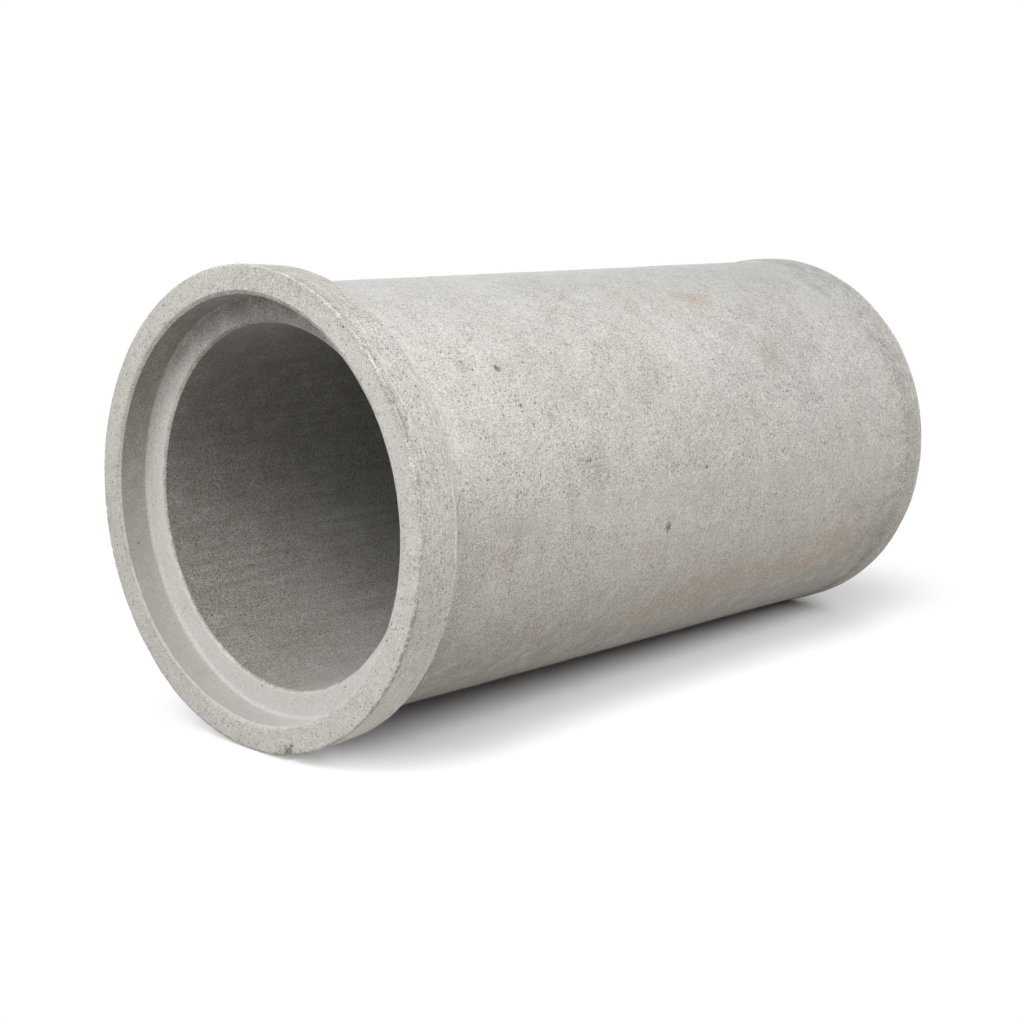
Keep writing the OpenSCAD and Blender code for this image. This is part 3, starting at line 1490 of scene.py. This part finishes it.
@dataclass(frozen=True)
class Studio:
    """A plain pale floor that fades into a white surround, under broad soft lights."""

    white: Colour = (1.0, 1.0, 1.0)
    floor_size: float = 60.0
    floor_tone: Colour = (0.560, 0.540, 0.508)
    floor_seen: Colour = (0.938, 0.943, 0.952)
    fade: tuple[float, float] = (0.546, 0.848)
    fade_shift: tuple[float, float, float] = (-0.023, -0.073, 0.0)
    fade_scale: tuple[float, float, float] = (1 / 0.548, 1 / 1.063, 0.0)
    sky: float = 0.18
    front_strength: float = 2.0
    front_softness: float = 60.0
    front_height: float = 25.0
    boxes: tuple[SoftBox, ...] = (
        SoftBox("key", (0.6, -2.2, 2.6), 44.0),
        SoftBox("top", (0.6, -0.8, 1.5), 9.5),
        SoftBox("side", (2.4, 0.6, 1.9), 62.0, width=1.8),
        SoftBox("back", (-2.1, 1.9, 0.9), 18.0, width=1.6),
    )

    def paper(self) -> bpy.types.Material:
        """Makes the floor's paper, which glows white away from the pipe.

        Returns:
            The material.
        """
        made = bpy.data.materials.new("pale_paper")
        bench = NodeBench.on(made)
        seen = bench.add("ShaderNodeLightPath").outputs["Is Camera Ray"]
        tone = bench.blend(seen, self.floor_tone, self.floor_seen)
        matt = bench.add("ShaderNodeBsdfDiffuse", {"Color": tone}).outputs[0]
        glow = bench.add("ShaderNodeEmission", {"Color": self.white}).outputs[0]
        spread = bench.add("ShaderNodeMapping", {
            "Vector": bench.add("ShaderNodeTexCoord").outputs["Object"],
            "Location": self.fade_shift,
            "Scale": self.fade_scale,
        }).outputs[0]
        reach = bench.add("ShaderNodeVectorMath", {0: spread}, operation="LENGTH").outputs["Value"]
        away = bench.times(seen, bench.window(reach, *self.fade))
        faded = bench.add("ShaderNodeMixShader", {0: away, 1: matt, 2: glow}).outputs[0]
        bench.add("ShaderNodeOutputMaterial", {"Surface": faded})
        return made

    def lay_floor(self) -> None:
        """Lays the floor, flush with the ground that the pipe lies on."""
        deselect_all()
        bpy.ops.mesh.primitive_plane_add(size=self.floor_size, location=(0, 0, 0))
        floor = bpy.context.object
        floor.name = "studio_floor"
        floor.data.materials.append(self.paper())

    def light_sky(self) -> None:
        """Lights the whole scene evenly and faintly, and shows a white backdrop."""
        world = bpy.data.worlds.new("studio")
        bpy.context.scene.world = world
        bench = NodeBench.on(world)
        seen = bench.add("ShaderNodeLightPath").outputs["Is Camera Ray"]
        strength = bench.sum_up("MULTIPLY_ADD", seen, 1.0 - self.sky, self.sky)
        glow = bench.add("ShaderNodeBackground", {"Color": self.white, "Strength": strength}).outputs[0]
        bench.add("ShaderNodeOutputWorld", {"Surface": glow})

    def hang_front(self) -> None:
        """Hangs the broad light that shines on the bell's face."""
        lamp = bpy.data.lights.new("front", "SUN")
        lamp.energy = self.front_strength
        lamp.angle = math.radians(self.front_softness)
        front = bpy.data.objects.new("front", lamp)
        bpy.context.collection.objects.link(front)
        front.rotation_euler = (math.radians(90 - self.front_height), 0.0, 0.0)

    def build(self) -> None:
        """Sets the studio up."""
        bpy.context.scene.view_settings.view_transform = "Standard"
        self.lay_floor()
        self.light_sky()
        self.hang_front()
        for box in self.boxes:
            box.hang()
            log.info("soft box: %s", box.name)


@dataclass(frozen=True)
class StudioCamera:
    """The camera, given by where it looks from and what it looks at."""

    bearing: float = 43.01
    height: float = 11.48
    distance: float = 2.8639
    aim: tuple[float, float, float] = (0.0, -0.1078, 0.2537)
    lens: float = 65.58
    sensor: float = 36.0

    def build(self) -> None:
        """Places the camera and makes it the scene's."""
        round_by, up_by = math.radians(self.bearing), math.radians(self.height)
        level = math.cos(up_by)
        away = Vector((math.sin(round_by) * level, -math.cos(round_by) * level, math.sin(up_by)))
        eye = bpy.data.cameras.new("camera")
        eye.lens = self.lens
        eye.sensor_width = self.sensor
        camera = bpy.data.objects.new("camera", eye)
        camera.location = Vector(self.aim) + away * self.distance
        camera.rotation_euler = away.to_track_quat("Z", "Y").to_euler()
        bpy.context.collection.objects.link(camera)
        bpy.context.scene.camera = camera


# ---------------------------------------------------------------- this pipe


def resting_place(record: dict) -> Matrix:
    """Works out how the pipe lies, from the record's mounts.

    Args:
        record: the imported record.

    Returns:
        From the upright pipe, bell face down at Z = 0 and top at -Y, to the frame.
    """
    mounts = {mount["name"]: mount for mount in record["mounts"]}
    bellward = Vector(mounts["bore"]["axis"]).normalized()
    middle = Vector(mounts["bore"]["pos_m"])
    to_face = (Vector(mounts["bell_face"]["pos_m"]) - middle).dot(bellward)
    along = -bellward
    across = Vector((1.0, 0.0, 0.0))
    turned = Matrix((across, along.cross(across), along)).transposed().to_4x4()
    return Matrix.Translation(middle + bellward * to_face) @ turned


def pipe_reliefs() -> tuple[Relief, ...]:
    """Lists the layers of relief, in the order they are pressed.

    Returns:
        The cast unevenness, the sandy skin, the air holes and the worn corners.
    """
    return (
        Relief("long_wave", Reach.ALL_OVER, 0.17, 0.0018),
        Relief("short_wave", Reach.ALL_OVER, 0.035, 0.0008, octaves=3),
        Relief("sandy_skin", Reach.OUTSIDE, 0.008, 0.0005, octaves=1),
        Relief("air_holes", Reach.OUTSIDE, 0.055, -0.0022, "VORONOI", middle=0.0, window=(0.09, 0.04)),
        Relief("worn_arris", Reach.ARRISES, 0.006, -0.0008, middle=0.4, octaves=1),
        Relief("nibbled_rim", Reach.RIM, 0.010, -0.0018, middle=0.0, window=(0.64, 0.78)),
    )


def pipe_nicks(sizes: PipeSizes) -> tuple[Nick, ...]:
    """Lists the chips in the bell's rim.

    Args:
        sizes: the pipe's sizes.

    Returns:
        The notch at the bottom, and the dents near the top.
    """
    rim = sizes.bell_r - sizes.rim_inset
    return (
        Nick(Spot(0.000, 166, rim), 0.011, 0.0085),
        Nick(Spot(0.000, 36, rim), 0.008, 0.0022),
        Nick(Spot(0.000, 43, rim), 0.010, 0.0025),
        Nick(Spot(0.000, 58, rim), 0.007, 0.0020),
    )


def pipe_holes(sizes: PipeSizes) -> tuple[Hole, ...]:
    """Lists the holes that stand out one by one.

    Args:
        sizes: the pipe's sizes.

    Returns:
        The barrel's pits, the bell's, and the crack above the rim's notch.
    """
    pits = (
        (0.238, 49.3, 0.0060),
        (0.168, 43.6, 0.0016),
        (0.180, 46.4, 0.0024),
        (0.192, 49.1, 0.0022),
        (0.215, 60.1, 0.0017),
        (0.249, 60.4, 0.0028),
        (0.277, 60.2, 0.0021),
        (0.525, 98.9, 0.0078),
        (0.355, 76.9, 0.0030),
        (0.610, 84.0, 0.0030),
        (0.842, 66.0, 0.0030),
        (0.700, 232.0, 0.0050),
        (0.410, 301.0, 0.0045),
    )
    crack = ((166.0, 0.0035, 0.0060), (165.0, 0.0090, 0.0040), (164.2, 0.0140, 0.0030))
    return (
        *(Hole(Spot(along, turn, sizes.barrel_r), radius) for along, turn, radius in pits),
        Hole(Spot(0.064, 108, sizes.bell_back_r), 0.0035),
        *(Hole(Spot(0.000, turn, sizes.bell_r - inset), radius) for turn, inset, radius in crack),
    )


def pipe_marks() -> tuple[Mark, ...]:
    """Lists the soft patches that the masks are painted with.

    Returns:
        The smudges, worn spots, tan stains and pale patches.
    """
    return (
        # the rim's notch, and painted shade along the lower edge of the rim
        Mark(Mask.GRIME_AND_SHADE, 0.0, 166, 0.012, 1.8, 1.5, beyond=0.314),
        Mark(Mask.GRIME_AND_SHADE, 0.0, 198, 0.012, 20, 1.6, beyond=0.3245),
        Mark(Mask.WEAR_AND_SHADE, 0.0, 166.5, 0.012, 1.2, 1.5, beyond=0.316),
        # the bell, with painted light on its side and on the hollow behind it
        Mark(Mask.GRIME_AND_SHADE, 0.03, 12, 0.04, 17, 0.75),
        Mark(Mask.OCHRE, 0.03, 12, 0.03, 14, 0.35),
        Mark(Mask.GRIME_AND_SHADE, 0.012, 26, 0.020, 9.0, 0.30, beyond=0.310),
        # painted light on the bell's side
        Mark(Mask.LIME_AND_LIGHT, 0.035, 87, 0.040, 13, 0.30, beyond=0.310),
        Mark(Mask.OCHRE, 0.030, 143, 0.016, 7.0, 0.55, beyond=0.310),
        # painted light on the hollow behind the bell
        Mark(Mask.LIME_AND_LIGHT, 0.092, 46, 0.022, 26, 0.50),
        Mark(Mask.LIME_AND_LIGHT, 0.11, 71, 0.03, 9, 0.6),
        # smudges and spots on the barrel
        Mark(Mask.GRIME_AND_SHADE, 0.238, 49, 0.010, 2.6, 0.7),
        Mark(Mask.GRIME_AND_SHADE, 0.180, 46.5, 0.016, 4, 0.5),
        Mark(Mask.GRIME_AND_SHADE, 0.22, 93, 0.04, 7, 0.35),
        Mark(Mask.GRIME_AND_SHADE, 0.355, 77, 0.03, 5, 0.4),
        Mark(Mask.GRIME_AND_SHADE, 0.52, 56, 0.04, 8, 0.3),
        Mark(Mask.GRIME_AND_SHADE, 0.844, 53, 0.022, 4.5, 0.6),
        Mark(Mask.OCHRE, 0.844, 52, 0.022, 4.5, 0.25),
        Mark(Mask.GRIME_AND_SHADE, 0.955, 52, 0.008, 3.5, 0.6),
        Mark(Mask.LIME_AND_LIGHT, 0.940, 61, 0.012, 2.2, 0.5),
        Mark(Mask.LIME_AND_LIGHT, 0.50, 98, 0.080, 7.0, 0.25),
        Mark(Mask.OCHRE, 0.184, 99, 0.012, 1.8, 0.7),
        Mark(Mask.OCHRE, 0.49, 103, 0.035, 3.5, 0.35),
        Mark(Mask.OCHRE, 0.52, 91, 0.02, 2.5, 0.35),
        Mark(Mask.OCHRE, 0.751, 30, 0.04, 4, 0.7),
        Mark(Mask.OCHRE, 0.976, 97, 0.011, 1.5, 0.6),
        Mark(Mask.OCHRE, 0.60, 252, 0.12, 14, 0.4),
        Mark(Mask.GRIME_AND_SHADE, 0.90, 300, 0.10, 12, 0.4),
        # painted shade along the band's rise, and dirt on and before the band
        Mark(Mask.GRIME_AND_SHADE, 1.11, 26, 0.018, 10, 0.6),
        Mark(Mask.GRIME_AND_SHADE, 1.139, 49, 0.020, 8, 0.62),
        Mark(Mask.GRIME_AND_SHADE, 1.150, 67, 0.026, 9, 0.58),
        Mark(Mask.GRIME_AND_SHADE, 1.160, 88, 0.036, 12, 0.35),
        Mark(Mask.GRIME_AND_SHADE, 1.140, 108, 0.045, 12, 0.50),
        Mark(Mask.GRIME_AND_SHADE, 1.05, 108, 0.07, 9, 0.35),
        # the tan run along the lower side, and painted shade below it towards the far end
        Mark(Mask.OCHRE, 1.024, 114, 0.050, 6.0, 0.65),
        Mark(Mask.OCHRE, 0.997, 120, 0.060, 5.5, 0.70),
        Mark(Mask.OCHRE, 0.932, 124.5, 0.070, 5.5, 0.65),
        Mark(Mask.OCHRE, 0.72, 123, 0.110, 6.5, 0.75),
        Mark(Mask.OCHRE, 0.57, 128, 0.080, 5.0, 0.50),
        Mark(Mask.GRIME_AND_SHADE, 1.10, 119, 0.055, 9.0, 0.60),
        Mark(Mask.GRIME_AND_SHADE, 0.99, 137, 0.140, 9.0, 0.45),
        # inside the bore
        Mark(Mask.LIME_AND_LIGHT, 0.38, 248, 0.05, 6, 0.35, inside=True),
        Mark(Mask.OCHRE, 0.06, 180, 0.012, 12, 0.6, inside=True),
        Mark(Mask.GRIME_AND_SHADE, 0.12, 270, 0.10, 30, 0.35, inside=True),
        Mark(Mask.LIME_AND_LIGHT, 0.46, 250, 0.08, 16, 0.22, inside=True),
    )


def main() -> None:
    """Builds the pipe, the studio and the camera."""
    logging.basicConfig(level=logging.INFO, format="%(name)s %(message)s")
    sizes = PipeSizes.from_record(frame["record"])
    place = resting_place(frame["record"])
    pipe = CastPipe(sizes, pipe_reliefs(), pipe_nicks(sizes), pipe_marks())
    pipe.build(CastConcrete(holes=pipe_holes(sizes)), place)
    Studio().build()
    StudioCamera().build()


if __name__ == "__main__":
    main()
